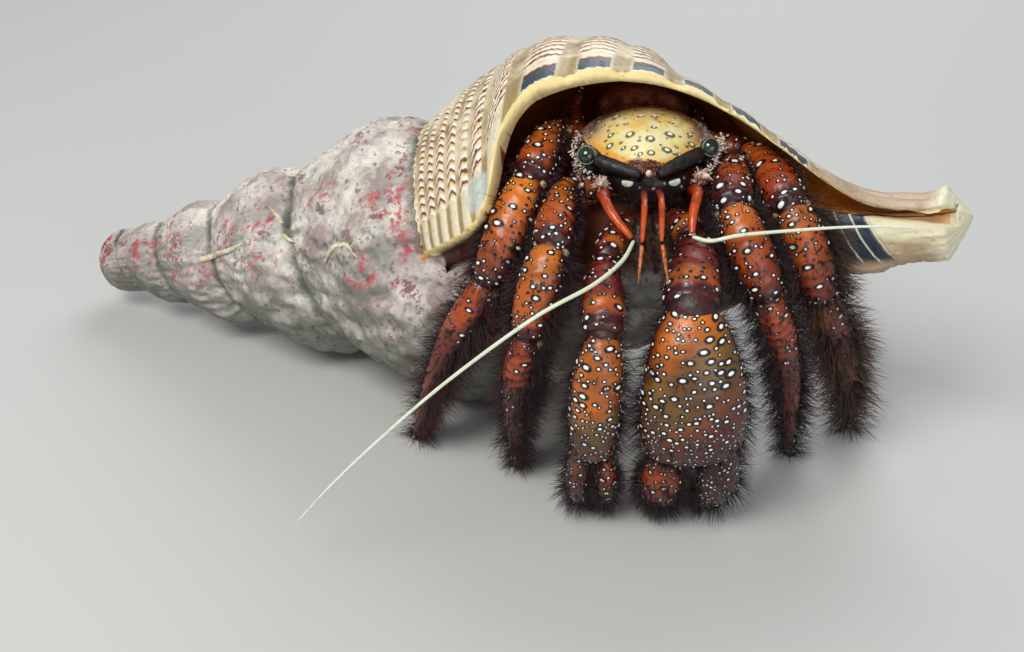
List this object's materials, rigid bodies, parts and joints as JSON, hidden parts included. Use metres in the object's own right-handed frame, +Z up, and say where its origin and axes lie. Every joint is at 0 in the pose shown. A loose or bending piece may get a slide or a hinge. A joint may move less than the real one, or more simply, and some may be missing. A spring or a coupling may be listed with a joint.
{
  "type": "white-spotted hermit crab in a triton's trumpet shell",
  "caption": "Life-size still hermit crab leaning out of the mouth of a long spired sea-snail shell, resting on its leg tips, claw tips and the shell's belly.",
  "frame": {"origin": "on the floor under the middle of the whole, shell and feelers included", "axes": "+Z up; the crab faces -Y and its own left side is +X; the worn tip of the shell points to -X and a little back"},
  "size_m": [0.265, 0.1604, 0.1152],
  "materials": {
    "shell": "chalky and encrusted outside, glossy orange-brown inside",
    "plate": "satin",
    "limb": "satin",
    "claw": "satin",
    "soft": "wet satin",
    "feeler": "satin",
    "flagellum": "satin",
    "stalk": "satin",
    "eye": "glossy"
  },
  "bodies": {
    "root": {"shell": "shell", "carapace_shield": "plate", "thorax": "soft", "carapace_rear": "soft", "abdomen_front": "soft", "abdomen_rear": "soft", "abdomen_tail_fan": "soft", "leg_2_right_merus": "limb", "leg_2_right_carpus": "limb", "leg_2_right_propodus": "limb", "leg_2_right_dactylus": "limb", "leg_3_right_merus": "limb", "leg_3_right_carpus": "limb", "leg_3_right_propodus": "limb", "leg_3_right_dactylus": "limb", "leg_2_left_merus": "limb", "leg_2_left_carpus": "limb", "leg_2_left_propodus": "limb", "leg_2_left_dactylus": "limb", "leg_3_left_merus": "limb", "leg_3_left_carpus": "limb", "leg_3_left_propodus": "limb", "leg_3_left_dactylus": "limb", "claw_left_merus": "claw", "claw_left_carpus": "claw", "claw_left_palm": "claw", "claw_left_finger": "claw", "claw_right_merus": "claw", "claw_right_carpus": "claw", "claw_right_palm": "claw", "claw_right_finger": "claw", "leg_4_right": "limb", "leg_4_left": "limb", "leg_5_right": "limb", "leg_5_left": "limb", "eyestalk_right": "stalk", "eyestalk_left": "stalk", "eye_scale_right": "plate", "eye_scale_left": "plate", "antenna_scale_right": "plate", "antenna_scale_left": "plate", "antenna_base_right": "feeler", "antenna_base_left": "feeler", "antennule_right": "feeler", "antennule_left": "feeler", "antennule_tip_right": "feeler", "antennule_tip_left": "feeler", "maxilliped_right": "soft", "maxilliped_left": "soft", "eye_right": "eye", "eye_left": "eye", "antenna_flagellum_right": "flagellum", "antenna_flagellum_left": "flagellum"}
  },
  "joints": []
}
